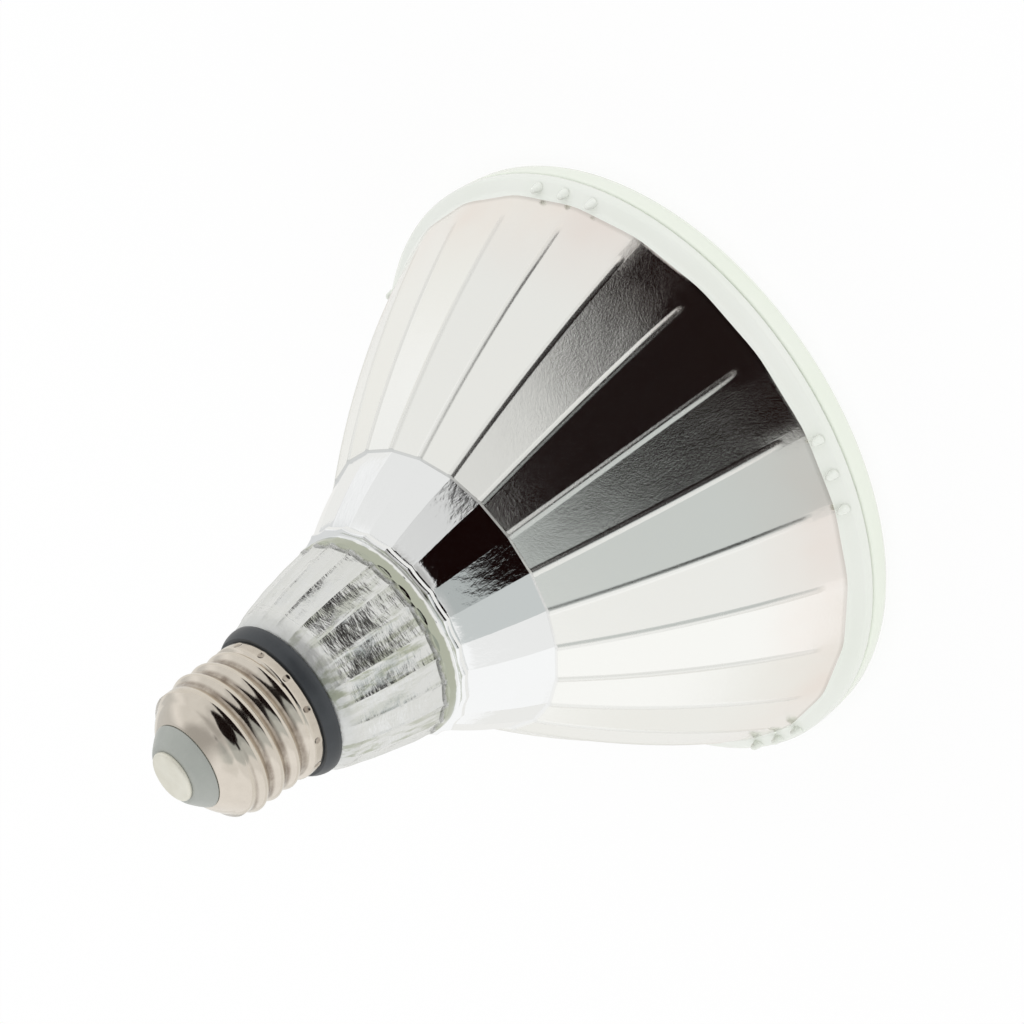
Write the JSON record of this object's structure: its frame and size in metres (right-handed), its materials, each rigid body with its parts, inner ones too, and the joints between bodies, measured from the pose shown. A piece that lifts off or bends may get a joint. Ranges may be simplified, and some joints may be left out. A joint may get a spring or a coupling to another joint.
{
  "type": "par spotlight bulb",
  "caption": "Reflector spotlight bulb with a ribbed silvered glass body, a clear front lens, a dark grey collar and a nickel-plated screw cap.",
  "frame": {"origin": "centre of the circle on which the front rim stands", "axes": "+Z along the lamp's axis from the front lens to the cap's centre contact"},
  "size_m": [0.121, 0.121, 0.1168],
  "materials": {
    "silvered_glass": "pressed glass silvered on the inside",
    "clear_glass": "clear pressed glass, slightly green",
    "seam_adhesive": "cured clear-grey sealant",
    "collar_plastic": "moulded dark grey, fine satin",
    "cement": "cast off-white cement",
    "plated_shell": "nickel plate on rolled sheet",
    "insulator": "moulded pale grey",
    "contact_metal": "pressed, dull",
    "spun_aluminium": "turned",
    "thermal_pad": "soft sheet",
    "ceramic_board": "white ceramic",
    "phosphor": "yellow silicone over the chips",
    "holder_plastic": "moulded white",
    "screw_steel": "zinc plated",
    "circuit_board": "solder-masked laminate",
    "ferrite": "pressed and sintered",
    "winding_tape": "yellow film over the winding",
    "capacitor_sleeve": "shrunk sleeve",
    "film_case": "dipped",
    "enamelled_copper": "enamelled wire",
    "package_epoxy": "moulded epoxy",
    "resistor_coat": "dipped coat",
    "lead_insulation": "extruded insulation"
  },
  "bodies": {
    "root": {"reflector_glass": "silvered_glass", "front_lens": "clear_glass", "lens_seal": "seam_adhesive", "base_collar": "collar_plastic", "neck_cement": "cement", "screw_shell": "plated_shell", "cap_insulator": "insulator", "centre_contact": "contact_metal", "heat_spreader": "spun_aluminium", "thermal_pad": "thermal_pad", "light_engine_board": "ceramic_board", "light_engine_phosphor": "phosphor", "engine_holder": "holder_plastic", "holder_screws": "screw_steel", "driver_board": "circuit_board", "transformer_core": "ferrite", "transformer_winding": "winding_tape", "bulk_capacitor": "capacitor_sleeve", "output_capacitor": "capacitor_sleeve", "film_capacitor": "film_case", "choke_core": "ferrite", "choke_winding": "enamelled_copper", "bridge_rectifier": "package_epoxy", "driver_chip": "package_epoxy", "chip_resistors": "package_epoxy", "fusible_resistor": "resistor_coat", "live_lead": "lead_insulation", "neutral_lead": "lead_insulation", "engine_leads": "lead_insulation"}
  },
  "joints": []
}
